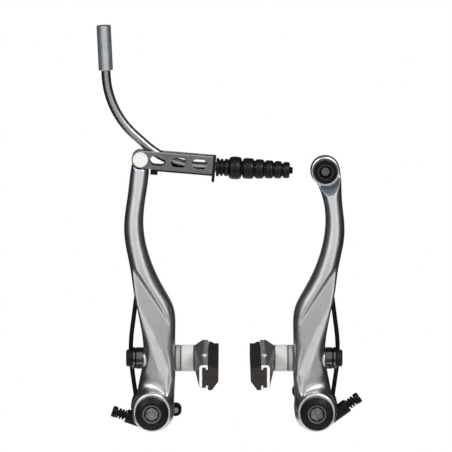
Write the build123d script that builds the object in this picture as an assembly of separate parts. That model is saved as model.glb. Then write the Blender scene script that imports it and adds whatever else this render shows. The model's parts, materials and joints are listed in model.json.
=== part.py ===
from build123d import *
import math
import os

# Frame: X to the right, Y away from the viewer, Z up. The origin is midway between the two pivot axes,
# in the plane where the pivot sleeves meet the bicycle's bosses. Every size is in millimetres.
# Each side is built with its pivot at the origin and the wheel on its +X side, then placed or mirrored.

os.makedirs("parts", exist_ok=True)

pivotHalf = 34.7
runFit = 0.05
seatFit = 0.02

# Pivot stack, along Y from the frame's plane towards the viewer
bushBore = 4.05
bushOuter = 5.5
bushEnd = -20.4
holderBack = -0.4
holderFront = -6.2
eyeBack = -6.6
eyeFront = -20.0
eyeRadius = 8.6
eyeBevel = 0.9
sealThick = 0.6
sealRadius = 6.8
boltHeadRadius = 7.05
boltHeadHigh = 4.4
boltDome = 1.3
boltShank = 2.88
boltShankLong = 20.5
boltNeck = 2.4
boltNeckLong = 0.8
boltSocket = 5.0
boltSocketDeep = 3.6
boltRingRadius = 3.6
boltRingDeep = 0.7

# Arm sections: height, outer x, inner x, front y, rear y, outer front corner, inner front corner
runOutSections = [
    (-24.0, -10.3, 8.8, -18.5, -6.7, 7.0, 3.4),
    (-12.0, -8.75, 9.05, -18.5, -6.7, 7.0, 3.4),
]
armSections = [
    (0.0, -7.2, 9.3, -18.5, -6.7, 7.0, 3.4),
    (10.0, -5.9, 9.5, -18.5, -6.7, 7.5, 3.4),
    (22.0, -3.85, 9.8, -18.5, -6.7, 7.0, 3.4),
    (33.8, -4.4, 9.8, -18.5, -6.7, 3.2, 3.4),
    (41.7, -5.8, 9.4, -19.5, -6.9, 2.4, 3.6),
    (47.6, -7.0, 7.1, -20.0, -7.2, 2.6, 4.0),
    (55.5, -8.3, 2.8, -20.2, -7.6, 3.6, 4.4),
    (65.4, -10.0, -1.2, -19.9, -8.0, 3.8, 3.8),
    (76.3, -11.6, -3.45, -19.2, -8.3, 3.6, 3.6),
    (87.2, -10.7, -3.05, -18.3, -8.4, 3.4, 3.4),
]
leftTopSections = [
    (96.1, -9.5, -1.7, -17.5, -8.4, 3.2, 3.2),
    (105.0, -8.2, -0.95, -16.8, -8.4, 3.0, 3.0),
    (114.0, -6.9, 0.3, -16.4, -8.4, 3.0, 3.0),
]
rightTopSections = [
    (94.2, -10.3, -1.0, -17.7, -8.4, 3.2, 3.2),
    (101.7, -9.65, 2.7, -17.2, -8.4, 3.0, 3.0),
    (109.0, -9.1, 6.4, -16.9, -8.4, 3.0, 3.0),
]
rearCorner = 1.5
toeCentre = (0.9, -0.2)
toeRadius = 8.4

# Front sculpting, points (x, z): line a is the step under the limb, lines b and c are facet creases
panelY = -18.5
stepTop = (-10.6, 64.9)
stepEnd = (7.2, 37.9)
creaseApex = (-6.2, 46.2)
creaseB = (7.4, 21.5)
creaseC = (6.1, 8.0)
creaseDeep = 1.4
edgePoint = (-4.0, 20.5)
edgeDeep = 3.0
flareOuter = 13.5
flareDeep = 5.6

# Shoe hardware, along X from the arm towards the wheel
midY = -12.0
postY = -11.2
postZ = 21.8
postRadius = 3.0
postHole = 3.3
washerHole = 3.15
spotFit = 0.4
innerSeat = 9.85
outerSeat = -3.9
bossRadius = 5.6
outerBossRadius = 4.7
washerRadius = 5.65
domeRim = 2.2
washerEdge = 0.35
domeSphere = 12.0
cupEnd = 17.7
outerRadius = 4.6
outerCupLong = 2.3
outerDomeLong = 2.2
nutRadius = 3.6
nutLong = 2.6
nutSocket = 4.0
postEnd = -8.9

# Cartridge shoe: plan along Y, section in X and Z
shoeNear = -62.0
shoeFar = 6.0
holderAtPost = 18.1
holderAtEnds = 20.3
webInner = 21.4
lipEnd = 23.7
holderHalf = 5.1
flangeThick = 0.9
lipThick = 0.7
lipIn = 0.9
holderRound = 1.2
padFace = 28.1
padHalf = 5.2
padShoulder = 4.6
padTop = 3.9
padStepStart = 1.3
padStepLong = 1.1
padFit = 0.1
padBevel = 3.6
shoeBossRadius = 5.6
pinY = -37.0
pinX = 22.3
pinRadius = 0.7
pinHeadRadius = 1.05
pinHeadHigh = 0.5
pinTailLong = 3.2
pinTailWide = 0.7

# Spring holder, tension screw and return spring
ringRadius = 9.2
lugRadius = 2.5
lugReach = 9.9
lugAngle = {"left": -9.0, "right": 40.0}
stopperRadius = 1.2
stopperOut = 5.0
screwReach = 16.4
screwAngle = -9.2
screwTilt = 19.0
holderTurn = {"left": 0.0, "right": 17.0}
screwOut = {"left": 0.0, "right": 1.7}
screwRadius = 1.25
screwLong = 9.0
screwHeadRadius = 2.4
screwHeadLong = 2.2
screwSlotWide = 0.7
screwSlotDeep = 0.8
screwBlockStart = 5.2
screwBlockEnd = 12.5
screwBlockRadius = 2.9
coilRadius = 1.95
coilWire = 0.42
coilTurns = 2.5
wireRadius = 0.95
wireY = -4.3
wirePath = [(-6.65, 1.0), (-9.85, 24.0), (-6.0, 53.0)]
wireBend = 70.0

# Noodle holder on the left arm
linkPin = (-4.66, 106.7)
tongueHalf = 3.0
tongueRadius = 2.9
cheekFit = 0.3
linkSlope = 4.8
linkGap = 3.2
linkPlate = 1.2
linkHalf = 3.7
linkLong = 30.4
linkWall = 1.5
slotLong = 0.214 * linkLong
slotHigh = 4.0
slotPlaces = [0.24 * linkLong, 0.53 * linkLong, 0.82 * linkLong]
pinShaft = 1.75
headRadius = 3.4
headHigh = 0.9
clipRadius = 3.1
clipThick = 0.8
insertThick = 0.7
insertStart = 4.6
insertTabLong = 3.0
insertTabDrop = 1.7
insertEnd = 1.2
insertEndDrop = 3.2

# Noodle: corner points (x, z) in the shared frame, then its turned ends
noodleTop = (-54.65, 162.7)
noodleCorner = (-53.0, 126.75)
noodleRun = 17.0
noodleBend = 36.0
noseSlope = 2.5
noseDrop = 1.1
tubeRadius = 1.95
tubeBore = 1.3
linerRadius = 1.25
linerBore = 0.85
ferruleRadius = 3.0
ferruleLong = 19.0
ferruleBore = 2.55
ferruleDeep = 11.0
noseFlange = 2.5
noseFlangeLong = 1.6
noseNeck = 2.05
noseBarb = 2.5
noseTip = 8.0

# Boot rings: start and end along the nose axis from the holder's end face, then the ring's radius
bootRings = [
    (0.0, 1.3, 3.9),
    (1.7, 3.0, 3.65),
    (3.4, 5.3, 3.65),
    (5.3, 10.8, 4.8),
    (11.3, 15.8, 4.4),
    (16.3, 20.0, 4.1),
    (20.6, 24.0, 3.85),
    (24.5, 27.5, 3.7),
    (28.1, 30.9, 3.45),
]
bootFit = 0.3
bootGroove = 0.8
bootRound = 1.0
bootBore = 2.55
bootTipLong = 1.3
bootTipRadius = 1.45
bootTipBore = 0.8

# Cable anchor on the right arm
anchor = (-3.4, 101.7)
anchorRadius = 6.25
anchorSeatY = -15.2
anchorBack = -8.6
anchorRecess = 6.4
anchorEdge = 0.5
scoopHigh = 4.0
scoopFlare = 1.35
clampRadius = 5.4
clampThick = 1.2
clampGroove = 0.9
anchorHeadRadius = 4.8
anchorHeadHigh = 3.9
anchorShank = 2.5
anchorShankLong = 7.0
anchorSocket = 5.0
anchorSocketDeep = 3.0


def prism(points, yFrom, yTo):
    # A polygon of (x, z) points carried along Y from yFrom to yTo.
    face = make_face(Polyline(*[(x, yFrom, z) for x, z in points], close=True))
    return extrude(face, amount=abs(yTo - yFrom), dir=(0, math.copysign(1, yTo - yFrom), 0))


def rod(radius, start, end):
    # A round bar between two points.
    axis = Vector(*end) - Vector(*start)
    plane = Plane(origin=start, z_dir=axis)
    return plane * Cylinder(radius, axis.length, align=(Align.CENTER, Align.CENTER, Align.MIN))


def turned(profile):
    # A profile of (along, radius) points turned about the X axis.
    face = make_face(Polyline(*[(a, r, 0) for a, r in profile], close=True))
    return revolve(face, axis=Axis.X)


def hexSocket(acrossFlats, deep):
    # A hexagonal cut that starts at the origin and goes along +Z, a corner towards -Y.
    sketch = RegularPolygon(acrossFlats / 2, 6, major_radius=False, rotation=30)
    return extrude(sketch, amount=deep)


def armSection(z, outer, inner, front, rear, outerCorner, innerCorner):
    # A rounded four-sided section of the arm in the plane at height z.
    diagonal = 1 - math.sqrt(0.5)
    corners = [
        (outer, front, 1, 1, outerCorner),
        (inner, front, -1, 1, innerCorner),
        (inner, rear, -1, -1, rearCorner),
        (outer, rear, 1, -1, rearCorner),
    ]
    arcs = []
    for n, (x, y, sx, sy, r) in enumerate(corners):
        alongX = (x + sx * r, y, z)
        alongY = (x, y + sy * r, z)
        middle = (x + sx * r * diagonal, y + sy * r * diagonal, z)
        ends = (alongY, alongX) if n % 2 == 0 else (alongX, alongY)
        arcs.append((ends[0], middle, ends[1]))
    edges = []
    for n, (start, middle, end) in enumerate(arcs):
        edges.append(ThreePointArc(start, middle, end))
        edges.append(Line(end, arcs[(n + 1) % 4][0]))
    return make_face(edges)


def facetCut(region, corners):
    # The wedge in front of a plane through three (x, z, depth below the panel) corners, over a region.
    points = [Vector(x, panelY + deep, z) for x, z, deep in corners]
    normal = (points[1] - points[0]).cross(points[2] - points[0])
    if normal.Y > 0:
        normal = normal * -1
    half = Plane(origin=points[0], z_dir=normal) * Box(200, 200, 40, align=(Align.CENTER, Align.CENTER, Align.MIN))
    return half & prism(region, 0, -40)


def armBlank(topSections, topZ):
    # The sculpted arm without its top end: lofted limb, stepped panel, two facets, flared pivot eye.
    # The loft runs on past both ends, so that it lies true where it is cut off.
    blank = loft([armSection(*row) for row in runOutSections + armSections + topSections])
    blank = blank & Pos(0, 0, topZ / 2) * Box(200, 200, topZ)
    toe = rod(toeRadius, (toeCentre[0], -6.7, toeCentre[1]), (toeCentre[0], panelY, toeCentre[1]))
    blank = blank + toe
    innerBoss = rod(bossRadius, (4, postY, postZ), (innerSeat, postY, postZ))
    outerBoss = rod(outerBossRadius, (outerSeat, postY, postZ), (4, postY, postZ))
    innerSpot = rod(washerRadius + spotFit, (innerSeat, postY, postZ), (innerSeat + 9, postY, postZ))
    outerSpot = rod(outerRadius + spotFit, (outerSeat - 9, postY, postZ), (outerSeat, postY, postZ))
    body = blank + innerBoss + outerBoss - innerSpot - outerSpot

    region = [stepTop, stepEnd, (stepEnd[0], -20), (-30, -20), (-30, stepTop[1])]
    toeFace = make_face(Polyline(*[(x, panelY, z) for x, z in region], close=True))
    body = body - extrude(toeFace, amount=4, dir=(0, -1, 0), taper=-35)

    flareTop = eyeFront + eyeBevel
    flareFace = make_face([
        Line((0, flareTop, 0), (eyeRadius, flareTop, 0)),
        ThreePointArc(
            (eyeRadius, flareTop, 0),
            (eyeRadius + 0.3 * (flareOuter - eyeRadius), flareTop + 0.62 * flareDeep, 0),
            (flareOuter, flareTop + flareDeep, 0),
        ),
        Line((flareOuter, flareTop + flareDeep, 0), (0, flareTop + flareDeep, 0)),
        Line((0, flareTop + flareDeep, 0), (0, flareTop, 0)),
    ])
    flare = revolve(flareFace, axis=Axis.Y)
    apex = (*creaseApex, 0)
    lower = (*creaseC, creaseDeep)
    inside = [creaseApex, creaseB, creaseC]
    outside = [creaseApex, creaseC, (creaseC[0], -20), (-20, -20), (-20, creaseApex[1])]
    body = body - (facetCut(inside, [apex, (*creaseB, 0), lower]) - flare)
    body = body - (facetCut(outside, [apex, lower, (*edgePoint, edgeDeep)]) - flare)

    eye = rod(eyeRadius, (0, eyeBack, 0), (0, eyeFront, 0))
    eye = chamfer(eye.edges().sort_by(Axis.Y)[0], eyeBevel)
    body = body + eye
    body = body - rod(bushOuter + runFit, (0, 0, 0), (0, -30, 0))
    return body - rod(postHole, (-20, postY, postZ), (20, postY, postZ))


def leftArm():
    # The blank with cheeks cut away round a flat tongue with a round end, bored for the holder's pin.
    blank = armBlank(leftTopSections, linkPin[1])
    x, z = linkPin
    low = linkHalf + cheekFit
    fall = 10 * math.tan(math.radians(linkSlope))
    plan = [(0, -low), (10, -low - fall), (10, 20), (-10, 20), (-10, -low * 0.4), (0, -low * 0.4)]
    cheeks = prism([(x + dx, z + dz) for dx, dz in plan], 0, -30)
    cheeks = cheeks + rod(low, (x, 0, z), (x, -30, z))
    tongueBox = Pos(x, midY, z - 5) * Box(2 * tongueRadius, 2 * tongueHalf, 10)
    tongue = tongueBox + rod(tongueRadius, (x, midY - tongueHalf, z), (x, midY + tongueHalf, z))
    arm = blank - cheeks + tongue
    return arm - rod(pinShaft + seatFit, (x, 0, z), (x, -30, z))


def rightArm():
    # The blank with a round anchor eye whose seat is recessed below the limb's face.
    blank = armBlank(rightTopSections, anchor[1])
    x, z = anchor
    eye = rod(anchorRadius, (x, anchorBack, z), (x, anchorSeatY, z))
    eye = chamfer(eye.edges().sort_by(Axis.Y)[0], anchorEdge)
    seat = Plane(origin=(x, anchorSeatY, z), z_dir=(0, -1, 0))
    scoopTop = anchorRecess + scoopFlare * scoopHigh
    scoop = Cone(anchorRecess, scoopTop, scoopHigh, align=(Align.CENTER, Align.CENTER, Align.MIN))
    arm = blank + eye - seat * scoop
    return arm - rod(anchorShank + seatFit, (x, 0, z), (x, -30, z))


def pivotPieces(side):
    # Sleeve, seal and flanged bolt on the pivot axis.
    bush = rod(bushOuter, (0, 0, 0), (0, bushEnd, 0)) - rod(bushBore, (0, 1, 0), (0, bushEnd - 1, 0))
    sealEnd = bushEnd - sealThick
    seal = rod(sealRadius, (0, bushEnd, 0), (0, sealEnd, 0)) - rod(boltShank + 0.3, (0, 0, 0), (0, -30, 0))
    headEnd = sealEnd - boltHeadHigh
    head = rod(boltHeadRadius, (0, sealEnd, 0), (0, headEnd, 0))
    head = chamfer(head.edges().sort_by(Axis.Y)[0], boltDome * 0.8, boltDome * 1.6)
    neckEnd = sealEnd + boltNeckLong
    bolt = head + rod(boltNeck, (0, sealEnd, 0), (0, neckEnd, 0))
    bolt = bolt + rod(boltShank, (0, neckEnd, 0), (0, sealEnd + boltShankLong, 0))
    bolt = bolt - rod(boltRingRadius, (0, headEnd, 0), (0, headEnd + boltRingDeep, 0))
    socket = Pos(0, headEnd, 0) * Rot(-90, 0, 0) * hexSocket(boltSocket, boltSocketDeep)
    return {"pivot_bush": bush, "bolt_seal": seal, "fixing_bolt": bolt - socket}


def screwFrame(side):
    # The tension screw's frame: origin at the head's centre, X along the screw into the holder.
    turn = holderTurn[side]
    angle = math.radians(screwAngle + turn)
    middle = (holderBack + holderFront) / 2
    place = Pos(-screwReach * math.cos(angle), middle, screwReach * math.sin(angle))
    return place * Rot(0, screwTilt + turn, 0) * Pos(-screwOut[side], 0, 0)


def wire(radius):
    # The return spring's wire: a round section carried along a gently bowed path.
    path = FilletPolyline(*[(x, wireY, z) for x, z in wirePath], radius=wireBend)
    start = Plane(origin=path @ 0, z_dir=path % 0)
    return sweep(start * Circle(radius), path=path)


def springPieces(side):
    # Plastic holder with its lug and screw block, stopper pin, screw, coil and return spring.
    frame = screwFrame(side)
    angle = math.radians(lugAngle[side])
    lugX = lugReach * math.cos(angle)
    lugZ = lugReach * math.sin(angle)
    holder = rod(ringRadius, (0, holderBack, 0), (0, holderFront, 0))
    holder = holder + rod(lugRadius, (lugX, holderBack, lugZ), (lugX, holderFront, lugZ))
    blockEnd = screwBlockEnd + screwOut[side]
    holder = holder + frame * rod(screwBlockRadius, (screwBlockStart, 0, 0), (blockEnd, 0, 0))
    holder = holder - rod(bushOuter + seatFit, (0, 1, 0), (0, -30, 0))
    holder = holder - rod(stopperRadius + seatFit, (lugX, 1, lugZ), (lugX, -30, lugZ))
    holder = holder - frame * rod(screwRadius + runFit, (0, 0, 0), (screwLong + 0.3, 0, 0))
    holder = holder - wire(wireRadius + seatFit)
    stopper = rod(stopperRadius, (lugX, stopperOut, lugZ), (lugX, holderFront, lugZ))
    stopper = chamfer(stopper.edges().sort_by(Axis.Y)[-1], 0.4)
    head = rod(screwHeadRadius, (-screwHeadLong / 2, 0, 0), (screwHeadLong / 2, 0, 0))
    head = chamfer(head.edges().filter_by(GeomType.CIRCLE), 0.35)
    slot = Pos(-screwHeadLong / 2, 0, 0) * Box(2 * screwSlotDeep, 10, screwSlotWide)
    screw = head - slot + rod(screwRadius, (0, 0, 0), (screwLong, 0, 0))
    coilStart = screwHeadLong / 2 + coilWire
    coilLong = screwBlockStart - coilStart - coilWire
    helix = Helix(coilLong / coilTurns, coilLong, coilRadius)
    section = Plane(origin=helix @ 0, z_dir=helix % 0) * RegularPolygon(coilWire, 6)
    coil = Pos(coilStart, 0, 0) * Rot(0, 90, 0) * sweep(section, path=helix, is_frenet=True)
    return {
        "spring_holder": holder,
        "stopper_pin": stopper,
        "tension_screw": frame * screw,
        "tension_coil": frame * coil,
        "return_spring": wire(wireRadius),
    }


def domeSag(radius):
    # How far the washers' sphere falls from its top at a radius.
    return domeSphere - math.sqrt(domeSphere ** 2 - radius ** 2)


def runOfLines(points):
    # Straight edges through a list of (along, radius) points.
    return [Line((*a, 0), (*b, 0)) for a, b in zip(points, points[1:])]


def spherePair(seat, rim, outer, end):
    # A convex washer from seat to rim and the concave washer that covers it, ending at end. Grows along X.
    edge = washerEdge
    lip = outer - edge
    start = rim + domeSag(outer) - domeSag(lip)
    top = rim + domeSag(outer) - domeSag(washerHole)
    half = (washerHole + lip) / 2
    middle = rim + domeSag(outer) - domeSag(half)
    domeSide = [(seat, washerHole), (seat, lip), (seat + edge, outer), (start - edge, outer), (start, lip)]
    dome = make_face(runOfLines(domeSide) + [
        ThreePointArc((start, lip, 0), (middle, half, 0), (top, washerHole, 0)),
        Line((top, washerHole, 0), (seat, washerHole, 0)),
    ])
    gap = runFit
    near = start + gap
    cupSide = [(end, washerHole), (end, lip), (end - edge, outer), (near + edge, outer), (near, lip)]
    cup = make_face(runOfLines(cupSide) + [
        ThreePointArc((near, lip, 0), (middle + gap, half, 0), (top + gap, washerHole, 0)),
        Line((top + gap, washerHole, 0), (end, washerHole, 0)),
    ])
    return revolve(dome, axis=Axis.X), revolve(cup, axis=Axis.X)


def shoePieces(side):
    # Post, washers and nut on the post's axis, then the cartridge channel with its pad and pin.
    post = Pos(0, postY, postZ)
    innerDome, innerCup = spherePair(innerSeat, innerSeat + domeRim, washerRadius, cupEnd)
    outerEnd = outerSeat - outerCupLong - outerDomeLong
    outerDome, outerCup = spherePair(0, outerDomeLong * 0.6, outerRadius, -(outerEnd - outerSeat))
    flip = Pos(outerEnd, 0, 0)
    nutEnd = outerEnd - nutLong
    nut = rod(nutRadius, (nutEnd, 0, 0), (outerEnd, 0, 0))
    nut = chamfer(nut.edges().sort_by(Axis.X)[0], 0.5)
    nut = nut - rod(postRadius + seatFit, (postEnd, 0, 0), (outerEnd + 1, 0, 0))
    nut = nut - Pos(nutEnd, 0, 0) * Rot(0, 90, 0) * hexSocket(nutSocket, abs(postEnd - nutEnd))
    stem = rod(postRadius, (postEnd, 0, 0), (holderAtPost, 0, 0))

    plan = [
        (holderAtEnds, shoeNear), (holderAtPost, postY - 7), (holderAtPost, postY + 7),
        (holderAtEnds, shoeFar), (lipEnd, shoeFar), (lipEnd, shoeNear),
    ]
    planFace = make_face(Polyline(*[(x, y, postZ - holderHalf) for x, y in plan], close=True))
    channel = extrude(planFace, amount=2 * holderHalf, dir=(0, 0, 1))
    backEdges = []
    for edge in channel.edges():
        middle = edge @ 0.5
        lengthwise = abs((edge % 0.5).Y) > 0.5
        if lengthwise and middle.X < holderAtEnds:
            backEdges.append(edge)
    channel = fillet(backEdges, holderRound)
    innerHalf = holderHalf - flangeThick
    longY = shoeFar - shoeNear
    middleY = (shoeFar + shoeNear) / 2
    pocketLong = lipEnd - lipThick - webInner
    pocket = Pos(webInner + pocketLong / 2, middleY, postZ) * Box(pocketLong, longY + 2, 2 * innerHalf)
    mouth = Pos(lipEnd, middleY, postZ) * Box(3 * lipThick, longY + 2, 2 * (innerHalf - lipIn))
    farStop = Pos((webInner + lipEnd) / 2, shoeFar - 0.75, postZ)
    stop = farStop * Box(lipEnd - webInner, 1.5, 2 * innerHalf)
    channel = channel - pocket - mouth + stop
    channel = channel + rod(shoeBossRadius, (cupEnd, postY, postZ), (holderAtPost + 0.5, postY, postZ))
    channel = channel - rod(postRadius + seatFit, (0, postY, postZ), (holderAtPost, postY, postZ))
    pinHole = rod(pinRadius + seatFit, (pinX, pinY, postZ), (pinX, pinY, postZ + 20))
    channel = channel - pinHole

    padFar = shoeFar - 1.5 - padFit
    keyHalf = innerHalf - padFit
    neckHalf = innerHalf - lipIn - padFit
    keyEnd = lipEnd - lipThick - padFit
    faceStart = lipEnd + padFit
    stepFrom = lipEnd + padStepStart
    padProfile = [
        (webInner + padFit, -keyHalf), (keyEnd, -keyHalf), (keyEnd, -neckHalf), (faceStart, -neckHalf),
        (faceStart, -padHalf), (padFace - padBevel * 0.75, -padHalf), (padFace, padBevel - padHalf),
        (padFace, padTop), (stepFrom + padStepLong, padTop), (stepFrom, padShoulder), (faceStart, padShoulder),
        (faceStart, neckHalf), (keyEnd, neckHalf),
        (keyEnd, keyHalf), (webInner + padFit, keyHalf),
    ]
    pad = prism([(x, postZ + z) for x, z in padProfile], shoeNear, padFar) - pinHole

    top = postZ + holderHalf
    pin = rod(pinRadius, (pinX, pinY, postZ), (pinX, pinY, top))
    pin = pin + rod(pinHeadRadius, (pinX, pinY, top), (pinX, pinY, top + pinHeadHigh))
    tail = Pos(pinX, pinY - pinTailLong / 2, top + pinHeadHigh / 2)
    pin = pin + tail * Box(pinTailWide, pinTailLong, pinHeadHigh)
    return {
        "inner_dome": post * innerDome,
        "inner_cup": post * innerCup,
        "outer_dome": post * flip * outerDome,
        "outer_cup": post * flip * outerCup,
        "shoe_nut": post * nut,
        "shoe_post": post * stem,
        "shoe_holder": channel,
        "pad": pad,
        "pad_pin": pin,
    }


def linkFrame():
    # The noodle holder's frame: origin on its pin, X along the holder, in the left side's own frame.
    return Pos(linkPin[0], midY, linkPin[1]) * Rot(0, linkSlope, 0)


def noseFrame():
    # The noodle's seat on the inside of the holder's end wall, X out through the wall.
    seat = linkFrame() * Pos(linkLong - linkWall, 0, -noseDrop)
    return Pos(seat.position) * Rot(0, noseSlope, 0)


def linkPieces():
    # Channel of two slotted plates and an end wall, its plastic insert, the pin and the pin's ring.
    frame = linkFrame()
    across = linkGap + linkPlate
    block = Pos(linkLong / 2, 0, 0) * Box(linkLong, 2 * across, 2 * linkHalf)
    block = block + rod(linkHalf, (0, -across, 0), (0, across, 0))
    inside = Pos((linkLong - linkWall) / 2 - 10, 0, 0) * Box(linkLong - linkWall + 20, 2 * linkGap, 20)
    link = block - inside
    for place in slotPlaces:
        slot = extrude(SlotOverall(slotLong, slotHigh), amount=20, both=True)
        link = link - Pos(place, 0, 0) * Rot(90, 0, 0) * slot
    link = link - rod(pinShaft + runFit, (0, -20, 0), (0, 20, 0))
    stripLong = linkLong + insertEnd - insertStart
    strip = Pos(insertStart + stripLong / 2, 0, -linkHalf - insertThick / 2)
    insert = strip * Box(stripLong, 2 * across, insertThick)
    tab = Pos(insertStart + insertTabLong / 2, 0, -linkHalf - insertThick - insertTabDrop / 2)
    insert = insert + tab * Box(insertTabLong, 2 * linkGap, insertTabDrop)
    endHigh = 2 * linkHalf + insertEndDrop
    endPlate = Pos(linkLong + insertEnd / 2, 0, linkHalf - endHigh / 2)
    insert = insert + endPlate * Box(insertEnd, 2 * across, endHigh)
    neckHole = noseFrame() * rod(noseNeck + runFit, (-5, 0, 0), (6, 0, 0))
    flangeSeat = noseFrame() * rod(noseFlange + 0.3, (-noseFlangeLong, 0, 0), (0, 0, 0))
    pinX, pinZ = linkPin
    front = midY - across - runFit
    rear = midY + across + runFit
    pin = rod(pinShaft, (pinX, front, pinZ), (pinX, rear + clipThick, pinZ))
    head = rod(headRadius, (pinX, front, pinZ), (pinX, front - headHigh, pinZ))
    pin = pin + chamfer(head.edges().sort_by(Axis.Y)[0], 0.25)
    clip = rod(clipRadius, (pinX, rear, pinZ), (pinX, rear + clipThick, pinZ))
    clip = clip - rod(pinShaft + seatFit, (pinX, 0, pinZ), (pinX, -30, pinZ))
    return {
        "noodle_link": frame * link - neckHole - flangeSeat,
        "link_insert": frame * insert - neckHole,
        "link_pin": pin,
        "link_clip": clip,
    }


def noodlePieces():
    # Bent tube and liner along one path, ferrule at the top, turned nose at the seat, and the boot.
    frame = noseFrame()
    seat = frame.position
    slope = math.radians(noseSlope)
    bend = (seat.X - noodleRun * math.cos(slope), midY, seat.Z + noodleRun * math.sin(slope))
    top = Vector(noodleTop[0] + pivotHalf, midY, noodleTop[1])
    corner = Vector(noodleCorner[0] + pivotHalf, midY, noodleCorner[1])
    down = (corner - top).normalized()
    tubeTop = top + down * ferruleDeep
    path = FilletPolyline(tuple(tubeTop), tuple(corner), bend, tuple(seat), radius=noodleBend)
    start = Plane(origin=path @ 0, z_dir=path % 0)
    tube = sweep(start * (Circle(tubeRadius) - Circle(tubeBore)), path=path)
    liner = sweep(start * (Circle(linerRadius) - Circle(linerBore)), path=path)
    ferruleEnd = top + down * ferruleLong
    ferrule = rod(ferruleRadius, tuple(top), tuple(ferruleEnd))
    ferrule = chamfer(ferrule.edges().filter_by(GeomType.CIRCLE), 0.35)
    ferrule = ferrule - rod(ferruleBore, tuple(top), tuple(tubeTop))
    ferrule = ferrule - rod(tubeRadius + seatFit, tuple(top), tuple(ferruleEnd + down))
    endFace = linkWall + insertEnd
    nose = turned([
        (-noseFlangeLong, tubeRadius + seatFit), (-noseFlangeLong, noseFlange), (0, noseFlange),
        (0, noseNeck), (endFace + bootFit, noseNeck), (endFace + bootFit, noseBarb), (noseTip - 1, noseBarb),
        (noseTip, noseNeck), (noseTip, linerBore), (0, linerBore), (0, tubeRadius + seatFit),
    ])
    outline = [(bootRings[0][0], bootBore)]
    for n, (ringStart, ringEnd, radius) in enumerate(bootRings):
        last = n == len(bootRings) - 1
        following = radius if last else bootRings[n + 1][2]
        low = radius - bootGroove if n == 0 else min(radius, bootRings[n - 1][2]) - bootGroove
        if n > 0 and ringStart > bootRings[n - 1][1]:
            outline.append((ringStart, low))
        edge = bootRound * 0.6
        outline.append((ringStart, radius - edge))
        outline.append((ringStart + edge, radius))
        outline.append((ringEnd - edge, radius))
        outline.append((ringEnd, radius - edge))
        if not last and bootRings[n + 1][0] > ringEnd:
            outline.append((ringEnd, min(radius, following) - bootGroove))
    length = bootRings[-1][1]
    outline += [
        (length, bootTipRadius), (length + bootTipLong, bootTipRadius), (length + bootTipLong, bootTipBore),
        (length - 1.5, bootTipBore), (length - 1.5, bootBore),
    ]
    boot = turned(outline)
    return {
        "noodle_tube": tube,
        "noodle_liner": liner,
        "noodle_ferrule": ferrule,
        "noodle_nose": frame * nose,
        "boot": frame * Pos(endFace + bootFit, 0, 0) * boot,
    }


def anchorPieces():
    # Grooved clamp washer and socket bolt of the cable anchor.
    x, z = anchor
    washerEnd = anchorSeatY - clampThick
    washer = rod(clampRadius, (x, anchorSeatY, z), (x, washerEnd, z))
    washer = chamfer(washer.edges().sort_by(Axis.Y)[0], 0.3)
    washer = washer - rod(anchorShank + 0.1, (x, 0, z), (x, -30, z))
    grooveZ = z + anchorShank + clampGroove + 0.5
    washer = washer - rod(clampGroove, (x - 20, anchorSeatY, grooveZ), (x + 20, anchorSeatY, grooveZ))
    headEnd = washerEnd - anchorHeadHigh
    bolt = rod(anchorHeadRadius, (x, washerEnd, z), (x, headEnd, z))
    bolt = chamfer(bolt.edges().sort_by(Axis.Y)[0], 0.6)
    bolt = bolt + rod(anchorShank, (x, washerEnd, z), (x, washerEnd + anchorShankLong, z))
    socket = Pos(x, headEnd, z) * Rot(-90, 0, 0) * hexSocket(anchorSocket, anchorSocketDeep)
    return {"cable_washer": washer, "cable_bolt": bolt - socket}


def placed(side, shape):
    # Moves a piece from its side's own frame to the shared frame; the right side is the mirror image.
    if side == "left":
        return Pos(-pivotHalf, 0, 0) * shape
    return Pos(pivotHalf, 0, 0) * mirror(shape, about=Plane.YZ)


nodes = {}
for side in ("left", "right"):
    pieces = {"arm": leftArm() if side == "left" else rightArm()}
    pieces.update(pivotPieces(side))
    pieces.update(springPieces(side))
    pieces.update(shoePieces(side))
    for name, shape in pieces.items():
        nodes[f"{side}_{name}"] = placed(side, shape)
for name, shape in {**linkPieces(), **noodlePieces()}.items():
    nodes[name] = placed("left", shape)
for name, shape in anchorPieces().items():
    nodes[name] = placed("right", shape)

for name, shape in nodes.items():
    solids = shape.solids()
    if len(solids) != 1 or not shape.is_valid:
        print("CHECK", name, len(solids), "solids, valid", shape.is_valid)
    export_step(solids[0] if len(solids) == 1 else shape, f"parts/{name}.step")
print("wrote", len(nodes), "parts")
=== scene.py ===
import json
import math

import bmesh
import bpy
import numpy as np
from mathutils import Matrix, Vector


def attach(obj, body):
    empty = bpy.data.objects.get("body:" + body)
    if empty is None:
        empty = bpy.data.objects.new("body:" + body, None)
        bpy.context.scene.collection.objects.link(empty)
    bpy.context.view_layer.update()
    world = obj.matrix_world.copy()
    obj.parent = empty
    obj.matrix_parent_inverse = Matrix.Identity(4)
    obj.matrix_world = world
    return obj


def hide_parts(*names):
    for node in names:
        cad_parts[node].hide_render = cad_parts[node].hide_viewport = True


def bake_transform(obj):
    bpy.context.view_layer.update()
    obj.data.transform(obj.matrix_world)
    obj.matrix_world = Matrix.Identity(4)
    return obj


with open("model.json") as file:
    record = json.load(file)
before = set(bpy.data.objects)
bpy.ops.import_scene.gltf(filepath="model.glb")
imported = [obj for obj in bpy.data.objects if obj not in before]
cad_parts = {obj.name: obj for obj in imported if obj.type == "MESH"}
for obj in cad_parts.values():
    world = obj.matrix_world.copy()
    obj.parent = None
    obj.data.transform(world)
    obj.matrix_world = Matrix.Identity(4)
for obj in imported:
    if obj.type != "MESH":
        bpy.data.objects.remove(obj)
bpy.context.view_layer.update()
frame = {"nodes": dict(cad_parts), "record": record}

nodes = frame["nodes"]
scene = bpy.context.scene
mm = 0.001
print("frame loaded,", len(nodes), "CAD nodes")


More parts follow.
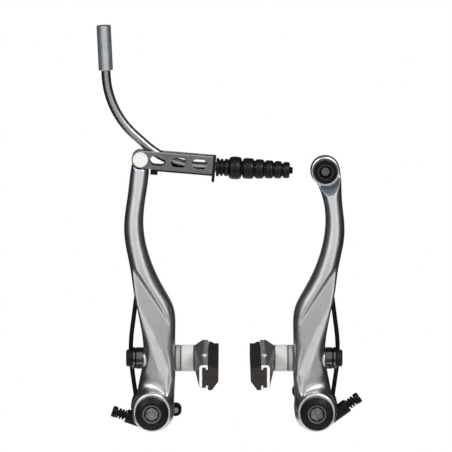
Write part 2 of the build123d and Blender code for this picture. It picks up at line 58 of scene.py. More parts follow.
def readRows(things, key, width, kind=float):
    # One property of all points, normals or edges of a mesh, as rows of so many numbers.
    rows = np.empty(len(things) * width, dtype=kind)
    things.foreach_get(key, rows)
    return rows.reshape(-1, width)


def nodeBox(name):
    # Low and high corner of a CAD node in metres, to the nearest thousandth of a millimetre.
    places = readRows(nodes[name].data.vertices, "co", 3)
    return places.min(axis=0).round(6).tolist(), places.max(axis=0).round(6).tolist()


def nodeMiddle(name):
    return [(low + high) / 2 for low, high in zip(*nodeBox(name))]


def axisOf(name):
    # Distance from the middle plane, and height, of the fore-and-aft axis of a round CAD node.
    middle = nodeMiddle(name)
    return abs(middle[0]), middle[2]


# How far in metres a mask fades, and the span in which most of a noise lies.
maskValues = {"fade": 0.0002, "noiseSpan": (0.3, 0.7)}


class Signal:
    # One socket of a node tree. Sums, differences and products add the Math nodes that work them out.
    def __init__(self, tree, socket=None):
        self.tree = tree
        self.socket = socket

    def node(self, kind, settings=None, inputs=None, out=0):
        # Any node: its settings first, then a value or a link for each socket; gives the chosen output.
        added = self.tree.nodes.new(kind)
        for key, value in (settings or {}).items():
            setattr(added, key, value)
        for key, value in (inputs or {}).items():
            if isinstance(value, Signal):
                self.tree.links.new(value.socket, added.inputs[key])
            else:
                added.inputs[key].default_value = value
        return Signal(self.tree, added.outputs[out] if len(added.outputs) else None)

    def math(self, operation, first, second=0.0):
        return self.node("ShaderNodeMath", {"operation": operation}, {0: first, 1: second})

    def __add__(self, other):
        return self.math("ADD", self, other)

    def __radd__(self, other):
        return self.math("ADD", other, self)

    def __sub__(self, other):
        return self.math("SUBTRACT", self, other)

    def __rsub__(self, other):
        return self.math("SUBTRACT", other, self)

    def __mul__(self, other):
        return self.math("MULTIPLY", self, other)

    def __rmul__(self, other):
        return self.math("MULTIPLY", other, self)

    def size(self):
        return self.math("ABSOLUTE", self)

    def root(self):
        return self.math("SQRT", self)

    def part(self, axis):
        # The X, Y or Z of a place.
        return self.node("ShaderNodeSeparateXYZ", {}, {"Vector": self}, out=axis)

    def over(self, low, high):
        # 0 at low, 1 at high, a smooth rise between them; low above high turns it round.
        settings = {"interpolation_type": "SMOOTHSTEP", "clamp": True}
        values = {"Value": self, "From Min": low, "From Max": high, "To Min": 0.0, "To Max": 1.0}
        return self.node("ShaderNodeMapRange", settings, values)

    def past(self, limit, fade=maskValues["fade"]):
        # 0 up to a limit, 1 from one fade beyond it.
        return self.over(limit, limit + fade)

    def within(self, limit, fade=maskValues["fade"]):
        # 1 up to a limit, 0 from one fade beyond it.
        return self.over(limit + fade, limit)

    def spread(self):
        # Noise drawn out to fill 0 to 1.
        return self.over(*maskValues["noiseSpan"])

    def between(self, low, high):
        # From low to high as this signal goes from 0 to 1.
        return self * (high - low) + low

    def mixed(self, dark, light):
        # A colour between two, by this signal.
        inputs = {0: self}
        for key, colour in ((6, dark), (7, light)):
            inputs[key] = colour if isinstance(colour, Signal) else (*colour, 1)
        return self.node("ShaderNodeMix", {"data_type": "RGBA"}, inputs, out=2)


grainValues = {"detail": 3.0, "broadDetail": 2.0, "rough": 0.55}


def startFinish(name):
    # A material with an empty tree, and the place on the surface that its pattern starts from.
    material = bpy.data.materials.new(name)
    material.use_nodes = True
    material.node_tree.nodes.clear()
    place = Signal(material.node_tree).node("ShaderNodeTexCoord", out="Object")
    return material, place


def closeFinish(shader):
    shader.node("ShaderNodeOutputMaterial", {}, {"Surface": shader})


def grain(place, scale, detail=grainValues["detail"]):
    # Cloudy noise, 0 to 1, at so many waves per metre.
    inputs = {"Vector": place, "Scale": scale, "Detail": detail, "Roughness": grainValues["rough"]}
    return place.node("ShaderNodeTexNoise", {"noise_dimensions": "3D"}, inputs)


def broadGrain(place, scale):
    return grain(place, scale, grainValues["broadDetail"])


def skinTone(values, fine, broad=None):
    # Between the finish's two tones, by the fine grain or by its mean with the broad one.
    cloud = fine if broad is None else (fine + broad) * 0.5
    return cloud.spread().mixed(values["dark"], values["light"])


def shadeFinish(fine, values, colour, metal=0.0):
    # The shader of every finish: roughness between two values and a slight bump, both by the fine grain.
    relief = {"Height": fine, "Distance": values["high"], "Strength": values["bump"]}
    inputs = {
        "Base Color": colour,
        "Roughness": fine.spread().between(*values["rough"]),
        "Metallic": metal,
        "Normal": fine.node("ShaderNodeBump", {}, relief),
    }
    if "specular" in values:
        inputs["Specular IOR Level"] = values["specular"]
    closeFinish(fine.node("ShaderNodeBsdfPrincipled", {}, inputs))


def distanceFrom(axis, place):
    # Root of the sum of squares across and up from a fore-and-aft axis; |x| folds left and right together.
    east = place.part("X").size() - axis[0]
    north = place.part("Z") - axis[1]
    return (east * east + north * north).root()


# Here and below, "fine" and "broad" are waves per metre, and "high" is the bump's height in metres.
plainValues = {
    "steel": {
        "dark": (0.48, 0.48, 0.48), "light": (0.58, 0.58, 0.57), "rough": (0.2, 0.3), "metal": 1.0,
        "fine": 2000, "broad": 120, "high": 4e-6, "bump": 0.3,
    },
    "seal_black": {
        "dark": (0.005, 0.005, 0.005), "light": (0.010, 0.010, 0.010), "rough": (0.5, 0.65),
        "fine": 1800, "broad": 150, "high": 5e-5, "bump": 0.3, "specular": 0.08,
    },
    "holder_black": {
        "dark": (0.004, 0.004, 0.005), "light": (0.010, 0.010, 0.011), "rough": (0.34, 0.5),
        "fine": 1500, "broad": 150, "high": 8e-5, "bump": 0.3, "specular": 0.09,
    },
    "spring_black": {
        "dark": (0.004, 0.004, 0.005), "light": (0.009, 0.009, 0.010), "rough": (0.25, 0.36),
        "fine": 1600, "broad": 150, "high": 5e-5, "bump": 0.3, "specular": 0.10,
    },
    "washer_chrome": {
        "dark": (0.11, 0.105, 0.105), "light": (0.15, 0.143, 0.14), "rough": (0.12, 0.18), "metal": 1.0,
        "fine": 1200, "broad": 120, "high": 3e-6, "bump": 0.3,
    },
    "clamp_dark": {
        "dark": (0.16, 0.165, 0.17), "light": (0.22, 0.225, 0.23), "rough": (0.25, 0.35), "metal": 1.0,
        "fine": 1500, "broad": 120, "high": 4e-6, "bump": 0.3,
    },
    "nut_black": {
        "dark": (0.006, 0.006, 0.007), "light": (0.013, 0.013, 0.014), "rough": (0.3, 0.42),
        "fine": 1500, "broad": 150, "high": 5e-5, "bump": 0.3, "specular": 0.12,
    },
    "noodle_steel": {
        "dark": (0.31, 0.307, 0.30), "light": (0.34, 0.337, 0.33), "rough": (0.3, 0.33), "metal": 1.0,
        "fine": 700, "broad": 90, "high": 1e-6, "bump": 0.1,
    },
    "liner": {
        "dark": (0.02, 0.02, 0.02), "light": (0.035, 0.035, 0.035), "rough": (0.4, 0.5),
        "fine": 1500, "broad": 150, "high": 4e-5, "bump": 0.3,
    },
    "boot_rubber": {
        "dark": (0.003, 0.003, 0.003), "light": (0.006, 0.006, 0.006), "rough": (0.26, 0.34),
        "fine": 1500, "broad": 160, "high": 2e-5, "bump": 0.3, "specular": 0.24,
    },
    "pin_bright": {
        "dark": (0.80, 0.80, 0.79), "light": (0.86, 0.86, 0.85), "rough": (0.25, 0.35), "metal": 0.2,
        "fine": 1500, "broad": 120, "high": 4e-6, "bump": 0.3,
    },
}


def plainFinish(name, values):
    # Tone by fine and broad grain: the pattern of every moulded, plated or drawn surface without marks.
    material, place = startFinish(name)
    fine = grain(place, values["fine"])
    broad = broadGrain(place, values["broad"])
    shadeFinish(fine, values, skinTone(values, fine, broad), values.get("metal", 0.0))
    return material


armTones = {
    "dark": (0.58, 0.595, 0.60), "light": (0.62, 0.632, 0.635), "rough": (0.29, 0.33),
    "fine": 700, "broad": 60, "high": 1e-6, "bump": 0.1,
    "seat": -0.0152, "recess": 0.0064, "flare": 1.35, "nearCone": 0.0003,
    "from": 0.0066, "fromFade": 0.0004, "sideFade": 0.001,
    "scoopShadeTone": (0.112, 0.142, 0.162), "scoopMatt": 0.75,
}


def armFinish(name, values):
    # Blasted silver, with painted shade in the scoop round the cable anchor: grey-blue and less metallic.
    # The scoop's cone has the radius of its recess plus the flare times the distance before its seat; the
    # mask is 1 near it, on the right side.
    material, place = startFinish(name)
    fine = grain(place, values["fine"])
    broad = broadGrain(place, values["broad"])
    reach = distanceFrom(axisOf("cable_bolt"), place)
    cone = (values["seat"] - place.part("Y")) * values["flare"] + values["recess"]
    onCone = (reach - cone).size().within(values["nearCone"])
    onRight = place.part("X").past(0.0, values["sideFade"])
    # Painted shade: the recess round the anchor bolt is darker and grey-blue.
    scoop = onCone * reach.past(values["from"], values["fromFade"]) * onRight
    colour = scoop.mixed(skinTone(values, fine, broad), values["scoopShadeTone"])
    shadeFinish(fine, values, colour, 1.0 - scoop * values["scoopMatt"])
    return material


boltValues = {
    "node": "right_fixing_bolt", "socket": 0.0030, "socketDeep": 0.0007, "ring": (0.0032, 0.0037),
    "dark": (0.006, 0.006, 0.007), "light": (0.013, 0.013, 0.014), "rough": (0.3, 0.4), "specular": 0.1,
    "fine": 1800, "high": 5e-6, "bump": 0.2, "mottle": 900, "mottleSpan": (0.4, 0.62),
    "bare": (0.36, 0.36, 0.35), "bareDark": (0.22, 0.22, 0.215),
    "ringHighlightTone": (0.30, 0.30, 0.30), "ringHighlightShare": 0.5,
}
anchorValues = {
    "node": "cable_bolt", "socket": 0.0016, "socketDeep": 0.0001, "ring": (0.0027, 0.0032),
    "dark": (0.004, 0.004, 0.005), "light": (0.009, 0.009, 0.010), "rough": (0.3, 0.4), "specular": 0.06,
    "fine": 1800, "high": 5e-6, "bump": 0.2, "mottle": 900, "mottleSpan": (0.4, 0.62),
    "bare": (0.15, 0.15, 0.155), "bareDark": (0.15, 0.15, 0.154),
    "ringHighlightTone": (0.05, 0.05, 0.05), "ringHighlightShare": 0.5,
}


def socketFinish(name, values):
    # A black bolt, bare where a place is inside the socket's radius and deeper than its mouth, and a
    # painted highlight where the distance from the axis lies between the ring's two radii.
    material, place = startFinish(name)
    fine = grain(place, values["fine"])
    reach = distanceFrom(axisOf(values["node"]), place)
    mouth = nodeBox(values["node"])[0][1] + values["socketDeep"]
    bare = reach.within(values["socket"]) * place.part("Y").past(mouth)
    ring = reach.past(values["ring"][0]) * reach.within(values["ring"][1])
    mottle = broadGrain(place, values["mottle"]).over(*values["mottleSpan"])
    # Painted highlight on the ring round the socket's mouth.
    highlit = (ring * values["ringHighlightShare"]).mixed(skinTone(values, fine), values["ringHighlightTone"])
    shadeFinish(fine, values, bare.mixed(highlit, mottle.mixed(values["bareDark"], values["bare"])), bare)
    return material


cupValues = {
    "dark": (0.48, 0.475, 0.45), "light": (0.53, 0.525, 0.50), "rough": (0.42, 0.55), "specular": 0.3,
    "fine": 600, "broad": 180, "high": 6e-6, "bump": 0.2,
    "seams": (0.02260, 0.01700), "seam": 0.0001, "seamFade": 0.0004,
    "gapShade": (0.06, 0.057, 0.05), "gapShadeShare": 0.8,
}
domeValues = {
    "dark": (0.29, 0.285, 0.265), "light": (0.33, 0.325, 0.30), "rough": (0.42, 0.55), "specular": 0.3,
    "fine": 600, "broad": 180, "high": 6e-6, "bump": 0.2,
    "seams": (0.02485, 0.02270), "seam": 0.0001, "seamFade": 0.0004,
    "gapShade": (0.05, 0.048, 0.043), "gapShadeShare": 0.8,
}


def washerFinish(name, values):
    # Sintered washer: cloudy tone, with painted shade of the gap between washers where the distance from
    # the middle plane is near a seam's.
    material, place = startFinish(name)
    fine = grain(place, values["fine"])
    broad = broadGrain(place, values["broad"])
    across = place.part("X").size()
    gapShade = 0.0
    # Painted shade at each seam, where the washers meet.
    for seam in values["seams"]:
        gapShade = (across - seam).size().within(values["seam"], values["seamFade"]) + gapShade
    colour = (gapShade * values["gapShadeShare"]).mixed(skinTone(values, fine, broad), values["gapShade"])
    shadeFinish(fine, values, colour)
    return material


shoeValues = {
    "node": "right_shoe_holder", "wedge": 0.0125, "wedgeFade": 0.0006, "stretch": (1, 0.06, 1),
    "dark": (0.17, 0.187, 0.20), "light": (0.22, 0.24, 0.255), "rough": (0.36, 0.46), "metal": 0.35,
    "fine": 900, "high": 6e-6, "bump": 0.2,
    "bare": (0.82, 0.82, 0.81), "wedgeShadeTone": (0.062, 0.062, 0.056),
}


def shoeFinish(name, values):
    # Anodised alloy with streaks drawn out along Y, with painted shade where the distance from the middle
    # plane is past the wedge's, and bare where the near end was sawn off.
    material, place = startFinish(name)
    drawn = place.node("ShaderNodeMapping", {}, {"Vector": place, "Scale": values["stretch"]})
    fine = grain(drawn, values["fine"])
    sawn = place.part("Y").within(nodeBox(values["node"])[0][1])
    # Painted shade on the wedge of the holder's back.
    wedge = place.part("X").size().past(values["wedge"], values["wedgeFade"])
    skin = wedge.mixed(skinTone(values, fine), values["wedgeShadeTone"])
    shadeFinish(fine, values, sawn.mixed(skin, values["bare"]), values["metal"])
    return material


padValues = {
    "node": "right_pad", "shoe": "right_shoe_holder",
    "line": 0.00008, "lineFade": 0.00014, "lineShare": 0.6,
    "dark": (0.008, 0.007, 0.0065), "light": (0.018, 0.016, 0.015), "rough": (0.6, 0.8), "specular": 0.15,
    "fine": 1500, "detail": 4.0, "broad": 260, "fineShare": 0.6, "toneSpan": (0.35, 0.65),
    "high": 3e-5, "bump": 0.4, "endTone": (0.036, 0.029, 0.025), "endShare": (0.4, 0.9),
}


def padFinish(name, values):
    # Moulded rubber: speckled tone, a lighter cut end nearest the viewer, and on that end a mould line where
    # the height is near the middle of the shoe.
    material, place = startFinish(name)
    fine = grain(place, values["fine"], values["detail"])
    broad = broadGrain(place, values["broad"])
    end = place.part("Y").within(nodeBox(values["node"])[0][1])
    aboveLine = place.part("Z") - nodeMiddle(values["shoe"])[2]
    line = aboveLine.size().within(values["line"], values["lineFade"])
    speckle = fine * values["fineShare"] + broad * (1 - values["fineShare"])
    skin = speckle.over(*values["toneSpan"]).mixed(values["dark"], values["light"])
    ended = (end * fine.between(*values["endShare"])).mixed(skin, values["endTone"])
    shadeFinish(fine, values, (line * end * values["lineShare"]).mixed(ended, values["dark"]))
    return material


linkValues = {
    "slope": 4.8, "edge": 0.0032, "edgeFade": 0.0003, "edgeHighlightShare": 0.8, "edgeHighlightTone": (0.55, 0.57, 0.58),
    "dark": (0.165, 0.177, 0.187), "light": (0.19, 0.203, 0.213), "rough": (0.28, 0.38), "metal": 1.0,
    "fine": 800, "high": 5e-6, "bump": 0.2,
}


def linkFinish(name, values):
    # Gunmetal plate with a painted highlight along its upper edge: the mask rises with the height above the
    # sloping line through its pin, which is the distance across times sin slope plus the distance up times
    # cos slope.
    material, place = startFinish(name)
    fine = grain(place, values["fine"])
    pin = nodeMiddle("link_pin")
    slope = math.radians(values["slope"])
    height = (place.part("X") - pin[0]) * math.sin(slope) + (place.part("Z") - pin[2]) * math.cos(slope)
    # Painted highlight along the plate's upper edge.
    edge = height.past(values["edge"], values["edgeFade"]) * values["edgeHighlightShare"]
    shadeFinish(fine, values, edge.mixed(skinTone(values, fine), values["edgeHighlightTone"]), values["metal"])
    return material


headValues = {
    "dark": (0.76, 0.745, 0.69), "light": (0.79, 0.775, 0.72), "rough": (0.3, 0.4), "metal": 0.4,
    "fine": 600, "high": 4e-6, "bump": 0.2, "rim": 0.0030, "rimFade": 0.0003, "rimTone": (0.20, 0.19, 0.18),
}


def headFinish(name, values):
    # A bright flat pin head with a dark rim: the mask rises with the distance from the pin's axis.
    material, place = startFinish(name)
    fine = grain(place, values["fine"])
    rim = distanceFrom(axisOf("link_pin"), place).past(values["rim"], values["rimFade"])
    shadeFinish(fine, values, rim.mixed(skinTone(values, fine), values["rimTone"]), values["metal"])
    return material


ferruleValues = {
    "dark": (0.41, 0.44, 0.46), "light": (0.45, 0.48, 0.50), "rough": (0.38, 0.43), "metal": 0.88,
    "fine": 700, "high": 2e-6, "bump": 0.1,
    "lean": 2.626, "bore": 0.0026, "boreFade": 0.0001, "boreShadeTone": (0.03, 0.032, 0.034),
}


def ferruleFinish(name, values):
    # Grey alloy with painted shade in its bore: the mask is 1 where the distance from its leaning axis is
    # within the bore.
    material, place = startFinish(name)
    fine = grain(place, values["fine"])
    middle = nodeMiddle("noodle_ferrule")
    lean = math.radians(values["lean"])
    aside = (place.part("X") - middle[0]) * math.cos(lean) + (place.part("Z") - middle[2]) * math.sin(lean)
    deep = place.part("Y") - middle[1]
    # Painted shade inside the bore.
    inside = (aside * aside + deep * deep).root().within(values["bore"], values["boreFade"])
    shadeFinish(fine, values, inside.mixed(skinTone(values, fine), values["boreShadeTone"]), values["metal"])
    return material


markedFinishes = {
    "ferrule_grey": (ferruleFinish, ferruleValues),
    "arm_silver": (armFinish, armTones),
    "black_steel": (socketFinish, boltValues),
    "anchor_black": (socketFinish, anchorValues),
    "washer_pale": (washerFinish, cupValues),
    "dome_grey": (washerFinish, domeValues),
    "shoe_grey": (shoeFinish, shoeValues),
    "pad_rubber": (padFinish, padValues),
    "link_grey": (linkFinish, linkValues),
    "pin_head": (headFinish, headValues),
}
made = {name: plainFinish(name, values) for name, values in plainValues.items()}
for name, (finish, values) in markedFinishes.items():
    made[name] = finish(name, values)
print("finishes made:", len(made))

slotOf = {entry["node"]: entry["material_slot"] for entry in frame["record"]["subparts"]}
finishOf = {
    **slotOf, "cable_bolt": "anchor_black", "link_pin": "pin_head", "cable_washer": "clamp_dark",
    "left_inner_dome": "dome_grey", "right_inner_dome": "dome_grey",
}
for name, node in nodes.items():
    node.data.materials.clear()
    node.data.materials.append(made[finishOf[name]])
print("CAD nodes finished")


def newPiece(name, places, faces, ends, finish):
    # A mesh from arrays of places (metres) and four-sided faces, shaded smooth, with flat end faces. The sum
    # of v0 . (v1 x v2) over its triangles has the sign of its volume; a negative one turns the faces round.
    first, second, third, fourth = [places[faces[:, n]] for n in range(4)]
    volume = np.sum(first * np.cross(second, third)) + np.sum(first * np.cross(third, fourth))
    step = 1 if volume > 0 else -1
    mesh = bpy.data.meshes.new(name)
    mesh.from_pydata(places.tolist(), [], faces[:, ::step].tolist() + [list(end[::step]) for end in ends])
    smooth = np.arange(len(mesh.polygons)) < len(faces)
    mesh.polygons.foreach_set("use_smooth", smooth)
    mesh.materials.append(made[finish])
    mesh.update()
    piece = bpy.data.objects.new(name, mesh)
    scene.collection.objects.link(piece)
    return piece


def gridFaces(rows, columns, rowsClosed):
    # Four-sided faces of a grid whose columns close on themselves, and whose rows may close too.
    row = np.arange(rows if rowsClosed else rows - 1)[:, None] * columns
    column = np.arange(columns)[None, :]
    nextRow = (row + columns) % (rows * columns)
    nextColumn = (column + 1) % columns
    corners = [row + column, row + nextColumn, nextRow + nextColumn, nextRow + column]
    return np.stack(corners, axis=-1).reshape(-1, 4)


def rise(value, low, high):
    # 0 at low, 1 at high, 3 t^2 - 2 t^3 between.
    share = np.clip((value - low) / (high - low), 0, 1)
    return share * share * (3 - 2 * share)


def roundedPath(points, bend, spacing):
    # Straight legs joined by arcs of one radius. At a corner turning by t the arc starts bend * tan(t / 2)
    # before it. For a from 0 to t it runs as bend * (sin a along the first leg + (1 - cos a) to the second).
    points = [np.array(point, float) for point in points]
    here = points[0]
    middles, headings = [], []
    for before, corner, after in zip(points, points[1:], points[2:]):
        inward = (corner - before) / np.linalg.norm(corner - before)
        outward = (after - corner) / np.linalg.norm(after - corner)
        turn = math.acos(float(np.clip(inward @ outward, -1, 1)))
        towards = (outward - inward * math.cos(turn)) / math.sin(turn)
        arcStart = corner - inward * bend * math.tan(turn / 2)
        count = max(2, int(np.linalg.norm(arcStart - here) / spacing))
        share = np.linspace(0, 1, count, endpoint=False)[:, None]
        middles.append(here + (arcStart - here) * share)
        headings.append(np.broadcast_to(inward, (count, 2)))
        angle = np.linspace(0, turn, max(2, int(bend * turn / spacing)), endpoint=False)[:, None]
        middles.append(arcStart + bend * (np.sin(angle) * inward + (1 - np.cos(angle)) * towards))
        headings.append(np.cos(angle) * inward + np.sin(angle) * towards)
        here = corner + outward * bend * math.tan(turn / 2)
    count = max(2, int(np.linalg.norm(points[-1] - here) / spacing))
    middles.append(here + (points[-1] - here) * np.linspace(0, 1, count)[:, None])
    headings.append(np.broadcast_to(outward, (count, 2)))
    return np.concatenate(middles), np.concatenate(headings)


def roundTube(middle, heading, size, depth, around):
    # Circles of so many points square to a path of (x, z) middles, at one depth y or one for each middle:
    # middle + size * (cos a across the path + sin a along Y).
    angle = np.linspace(0, 2 * np.pi, around, endpoint=False)[None, :, None]
    across = np.stack([heading[:, 1], np.zeros(len(heading)), -heading[:, 0]], axis=1)[:, None, :]
    depths = np.broadcast_to(depth, len(middle))
    centre = np.stack([middle[:, 0], depths, middle[:, 1]], axis=1)[:, None, :]
    places = centre + size * (np.cos(angle) * across + np.sin(angle) * np.array([0, 1.0, 0]))
    ends = [np.arange(around)[::-1], np.arange(around) + (len(middle) - 1) * around]
    return places.reshape(-1, 3), gridFaces(len(middle), around, False), ends


armValues = {
    "voxel": 0.00035, "merge": 1e-6, "pull": 0.5, "passes": 7,
    "panel": -0.0185, "facing": (0.986, 0.994), "flatDeep": 0.0004, "flatTop": 0.046,
    "front": -0.0115, "eyeEdge": (0.0090, 0.0102), "flareEnd": (0.0175, 0.0140), "flarePasses": 160,
    "edgeRun": (0.0300, 0.0285), "edgeTop": (0.0285, 0.0240), "runPasses": 40,
}


def rebuiltArm(side, values):
    # The arm's own solid, merged and rebuilt as small even faces.
    solid = bmesh.new()
    solid.from_mesh(nodes[f"{side}_arm"].data)
    bmesh.ops.remove_doubles(solid, verts=solid.verts, dist=values["merge"])
    merged = bpy.data.meshes.new(f"{side}ArmSkin")
    solid.to_mesh(merged)
    solid.free()
    piece = bpy.data.objects.new(f"{side}ArmSkin", merged)
    scene.collection.objects.link(piece)
    rebuilt = piece.modifiers.new("rebuilt", "REMESH")
    rebuilt.mode = "VOXEL"
    rebuilt.voxel_size = values["voxel"]
    settled = piece.evaluated_get(bpy.context.evaluated_depsgraph_get())
    mesh = bpy.data.meshes.new_from_object(settled)
    piece.modifiers.clear()
    piece.data = mesh
    return piece, mesh


def evened(places, edges, weight, passes):
    # Each pass moves every point by its weight towards the mean of the points that its edges lead to.
    here = np.concatenate([edges[:, 0], edges[:, 1]])
    there = np.concatenate([edges[:, 1], edges[:, 0]])
    count = np.maximum(np.bincount(here, minlength=len(places)), 1)[:, None]
    for turn in range(passes):
        sums = [np.bincount(here, places[there, axis], len(places)) for axis in range(3)]
        places = places + weight[:, None] * (np.stack(sums, axis=1) / count - places)
    return places


def makeArm(side, values):
    # The rebuilt arm with its panel levelled to one plane where it already faces the front and its creases
    # rounded all over; on its front, the inner edge and the flare above the eye are blended further.
    piece, mesh = rebuiltArm(side, values)
    places = readRows(mesh.vertices, "co", 3)
    facing = -readRows(mesh.vertex_normals, "vector", 3)[:, 1]
    edges = readRows(mesh.edges, "vertices", 2, np.int32)
    toPanel = values["panel"] - places[:, 1]
    onPanel = (np.abs(toPanel) < values["flatDeep"]) * (places[:, 2] < values["flatTop"])
    places[:, 1] += rise(facing, *values["facing"]) * onPanel * toPanel
    across, up = np.abs(places[:, 0]), places[:, 2]
    reach = np.hypot(across - axisOf(f"{side}_fixing_bolt")[0], up)
    outsideEye = rise(reach, *values["eyeEdge"])
    flare = outsideEye * rise(reach, *values["flareEnd"]) * (up > 0)
    run = outsideEye * rise(across, *values["edgeRun"]) * rise(up, *values["edgeTop"])
    front = values["pull"] * (places[:, 1] < values["front"])
    places = evened(places, edges, np.full(len(places), values["pull"]), values["passes"])
    for weight, passes in ((run * front, values["runPasses"]), (flare * front, values["flarePasses"])):
        near = edges[np.any(weight[edges] > 0, axis=1)]
        places = evened(places, near, weight, passes)
    mesh.vertices.foreach_set("co", places.ravel())
    mesh.materials.clear()
    mesh.materials.append(made["arm_silver"])
    mesh.polygons.foreach_set("use_smooth", np.ones(len(mesh.polygons), dtype=bool))
    mesh.update()
    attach(piece, f"{side}_arm")
    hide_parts(f"{side}_arm")
    print(piece.name, len(mesh.polygons), "faces")


# Rings as start, end and radius in millimetres; the rest in metres and degrees.
bootValues = {
    "start": (-0.007656, -0.012, 0.103055), "slope": 2.5, "bore": 0.00255, "around": 72, "perRing": 15,
    "rings": (
        (0.0, 1.3, 3.9), (1.7, 3.0, 3.65), (3.4, 5.3, 3.65), (5.3, 10.8, 4.8), (11.3, 15.8, 4.4),
        (16.3, 20.0, 4.1), (20.6, 24.0, 3.85), (24.5, 27.5, 3.7), (28.1, 30.9, 3.45),
    ),
    "groove": 0.0008, "fullness": 3.0,
    "tip": 0.00145, "tipLong": 0.0013, "tipBore": 0.0008, "tipEdge": 0.0003, "tipWall": 0.0015,
}


def makeBoot(values):
    # A closed profile turned about the nose's axis. Each ring's radius is its groove plus its height times
    # (1 - |cos a| to the power p) to the power 1/p, with a from 0 to pi along the ring; the bore closes it.
    rings = np.array(values["rings"]) * mm
    share = np.linspace(0, 1, values["perRing"])[None, :]
    power = values["fullness"]
    before = np.concatenate([rings[:1, 2], rings[:-1, 2]])
    low = np.minimum(rings[:, 2], before)[:, None] - values["groove"]
    along = rings[:, :1] + (rings[:, 1:2] - rings[:, :1]) * (0.5 - 0.5 * np.cos(np.pi * share))
    crown = (1 - np.abs(np.cos(np.pi * share)) ** power) ** (1 / power)
    out = low + (rings[:, 2:] - low) * crown
    length = rings[-1, 1]
    tail = length + values["tipLong"]
    wall = length - values["tipWall"]
    tip, edge = values["tip"], values["tipEdge"]
    end = np.array([
        (length, tip), (tail - edge, tip), (tail, tip - edge), (tail, values["tipBore"]),
        (wall, values["tipBore"]), (wall, values["bore"]), (0, values["bore"]),
    ])
    profile = np.concatenate([np.stack([along.ravel(), out.ravel()], axis=1), end])
    angle = np.linspace(0, 2 * np.pi, values["around"], endpoint=False)[None, :, None]
    slope = math.radians(values["slope"])
    forward = np.array([math.cos(slope), 0, -math.sin(slope)])
    upward = np.array([math.sin(slope), 0, math.cos(slope)])
    ringOut = np.cos(angle) * upward + np.sin(angle) * np.array([0, 1.0, 0])
    places = np.array(values["start"]) + profile[:, :1, None] * forward + profile[:, 1:, None] * ringOut
    faces = gridFaces(len(profile), values["around"], True)
    piece = newPiece("bootSkin", places.reshape(-1, 3), faces, [], "boot_rubber")
    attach(piece, "noodle")
    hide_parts("boot")


# Millimetres; the path is across and up from the arm's pivot.
springValues = {
    "path": ((-6.65, 1.0), (-9.85, 24.0), (-6.0, 53.0)), "bend": 70.0, "depth": -4.3, "size": 0.95,
    "lean": -2.15, "leanFrom": 34.0, "leanTo": 53.0, "bendFrom": 8.0, "bendTo": 48.0,
    "spacing": 0.8, "around": 24,
}


def makeSpring(side, values):
    # A round wire along its bowed path, whose upper end leans forward to rest on the arm's back.
    middle, heading = roundedPath(values["path"], values["bend"], values["spacing"])
    depth = values["depth"] + values["lean"] * rise(middle[:, 1], values["leanFrom"], values["leanTo"])
    places, faces, ends = roundTube(middle, heading, values["size"], depth, values["around"])
    sign = -1 if side == "left" else 1
    x, y = sign * axisOf(f"{side}_fixing_bolt")[0], values["depth"] * mm
    places = places * np.array([-sign, 1, 1]) * mm + np.array([x, 0, 0])
    piece = newPiece(f"{side}SpringWire", places, faces, ends, "spring_black")
    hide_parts(f"{side}_return_spring")
    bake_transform(piece)


# Millimetres.
noodleValues = {
    "path": ((-54.145, 151.711), (-53.0, 126.75), (-27.637, 103.927), (-10.653, 103.186)), "bend": 36.0,
    "depth": -12.0, "size": 1.95, "spacing": 0.6, "around": 32,
}


def makeNoodle(values):
    # The bent guide tube as one smooth surface: a circle along two arcs and three straight legs.
    middle, heading = roundedPath(values["path"], values["bend"], values["spacing"])
    places, faces, ends = roundTube(middle, heading, values["size"], values["depth"], values["around"])
    piece = newPiece("noodleTubeSkin", places * mm, faces, ends, "noodle_steel")
    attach(piece, "noodle")
    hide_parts("noodle_tube")


makeArm("left", armValues)
makeArm("right", armValues)
makeBoot(bootValues)
makeSpring("left", springValues)
makeSpring("right", springValues)
makeNoodle(noodleValues)
print("arms, boot, return springs and noodle made")

# Metres. From near to far the floor turns plain white, to the viewer and to mirror-like surfaces.
stageValues = {
    "floorHeight": -0.2, "floorHalf": 8.0, "floorTone": 0.86, "near": 0.45, "far": 0.9, "worldLight": 0.5,
}
white = (1, 1, 1, 1)


def whiteForViewer(start):
    # 1 on camera, mirror and see-through rays, 0 on the rays that light the object.
    rays = ("Is Camera Ray", "Is Glossy Ray", "Is Transmission Ray")
    camera, glossy, through = [start.node("ShaderNodeLightPath", out=ray) for ray in rays]
    return start.math("MAXIMUM", start.math("MAXIMUM", camera, glossy), through)


def makeWorld():
    world = bpy.data.worlds.new("studioWorld")
    scene.world = world
    world.use_nodes = True
    world.node_tree.nodes.clear()
    start = Signal(world.node_tree)
    level = whiteForViewer(start).between(stageValues["worldLight"], 1)
    shade = start.node("ShaderNodeBackground", {}, {"Color": white, "Strength": level})
    start.node("ShaderNodeOutputWorld", {}, {"Surface": shade})


def flatSheet(name, corner, opposite, material):
    # One four-sided face between two opposite corners that share one coordinate.
    first, second = [axis for axis in range(3) if corner[axis] != opposite[axis]]
    corners = [list(corner), list(corner), list(opposite), list(corner)]
    corners[1][first] = opposite[first]
    corners[3][second] = opposite[second]
    mesh = bpy.data.meshes.new(name)
    mesh.from_pydata(corners, [], [(0, 1, 2, 3)])
    mesh.materials.append(material)
    sheet = bpy.data.objects.new(name, mesh)
    scene.collection.objects.link(sheet)
    return sheet


def makeFloor():
    material, place = startFinish("floorPaper")
    across, away = place.part("X"), place.part("Y")
    reach = (across * across + away * away).root().over(stageValues["near"], stageValues["far"])
    tone = stageValues["floorTone"]
    matt = place.node("ShaderNodeBsdfDiffuse", {}, {"Color": (tone, tone, tone, 1)})
    glow = place.node("ShaderNodeEmission", {}, {"Color": white, "Strength": 1.0})
    closeFinish(place.node("ShaderNodeMixShader", {}, {0: reach * whiteForViewer(place), 1: matt, 2: glow}))
    half, height = stageValues["floorHalf"], stageValues["floorHeight"]
    floor = flatSheet("floor", (-half, -half, height), (half, half, height), material)


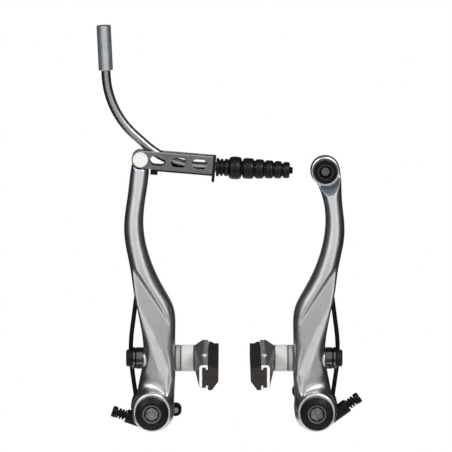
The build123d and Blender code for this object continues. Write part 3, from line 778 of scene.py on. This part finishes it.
# Two opposite corners in metres, and the tone: dark flags, grey boards and two bright sheets.
cardValues = {
    "leftFlag": ((-0.30, -0.40, -0.2), (-0.30, 0.6, 0.6), 0.02),
    "rightFlag": ((0.30, -0.40, -0.2), (0.30, 0.6, 0.6), 0.02),
    "nearBoard": ((-0.2, -0.72, -0.199), (0.2, -0.3, -0.199), 0.2),
    "farBoard": ((-0.16, -1.3, -0.199), (0.16, -0.72, -0.199), 0.2),
    "frontBoard": ((-0.16, -1.3, -0.2), (0.16, -1.3, 0.0), 0.2),
    "leftSheen": ((-0.24, -1.15, -0.198), (-0.56, -0.74, -0.198), 1.9),
    "rightSheen": ((0.24, -1.15, -0.198), (0.56, -0.74, -0.198), 1.9),
    "topFlag": ((-0.5, -0.2, 0.6), (0.5, 0.8, 0.6), 0.1),
    "backFlag": ((-0.5, 0.8, -0.2), (0.5, 0.8, 0.6), 0.1),
}


def makeCard(name, corner, opposite, tone):
    # A flat card that only mirror-like surfaces see, as round a product table.
    material, place = startFinish(name)
    closeFinish(place.node("ShaderNodeEmission", {}, {"Color": (tone, tone, tone, 1), "Strength": 1.0}))
    card = flatSheet(name, corner, opposite, material)
    card.visible_camera = False
    card.visible_diffuse = False
    card.visible_shadow = False
    card.visible_transmission = False


# Places and sizes in metres, power in watts.
lampValues = {
    "keyLamp": {"place": (0.7, -1.1, 1.0), "size": (0.7, 0.7), "power": 13, "mirrored": True},
    "fillLamp": {"place": (-0.8, -1.0, 0.8), "size": (0.4, 0.4), "power": 8, "mirrored": True},
    "topLamp": {"place": (0.0, -0.1, 1.3), "size": (0.9, 0.6), "power": 7, "mirrored": False},
}
lampAim = Vector((0, 0, 0.07))


def makeLamp(name, values):
    lamp = bpy.data.lights.new(name, "AREA")
    lamp.shape = "RECTANGLE"
    lamp.size, lamp.size_y = values["size"]
    lamp.energy = values["power"]
    holder = bpy.data.objects.new(name, lamp)
    holder.visible_glossy = values["mirrored"]
    holder.location = values["place"]
    holder.rotation_euler = (lampAim - Vector(values["place"])).to_track_quat("-Z", "Y").to_euler()
    scene.collection.objects.link(holder)


# Metres and degrees; the sensor is in millimetres.
cameraValues = {
    "aim": (-0.0035, -0.015, 0.0785), "distance": 1.5, "rise": 7.0, "across": 0.1898,
    "sensor": 36.0, "clipStart": 0.05, "clipEnd": 50,
}


def makeCamera(values):
    # So far from its aim and so many degrees above it, with a lens that spans the width across there.
    tilt = math.radians(values["rise"])
    back = Vector((0, -math.cos(tilt), math.sin(tilt)))
    camera = bpy.data.cameras.new("camera")
    camera.sensor_width = values["sensor"]
    camera.lens = values["sensor"] * values["distance"] / values["across"]
    camera.clip_start = values["clipStart"]
    camera.clip_end = values["clipEnd"]
    holder = bpy.data.objects.new("camera", camera)
    holder.location = Vector(values["aim"]) + back * values["distance"]
    holder.rotation_euler = (-back).to_track_quat("-Z", "Y").to_euler()
    scene.collection.objects.link(holder)
    scene.camera = holder


makeWorld()
makeFloor()
for name, (corner, opposite, tone) in cardValues.items():
    makeCard(name, corner, opposite, tone)
for name, values in lampValues.items():
    makeLamp(name, values)
makeCamera(cameraValues)
scene.view_settings.view_transform = "Standard"
print("studio ready")
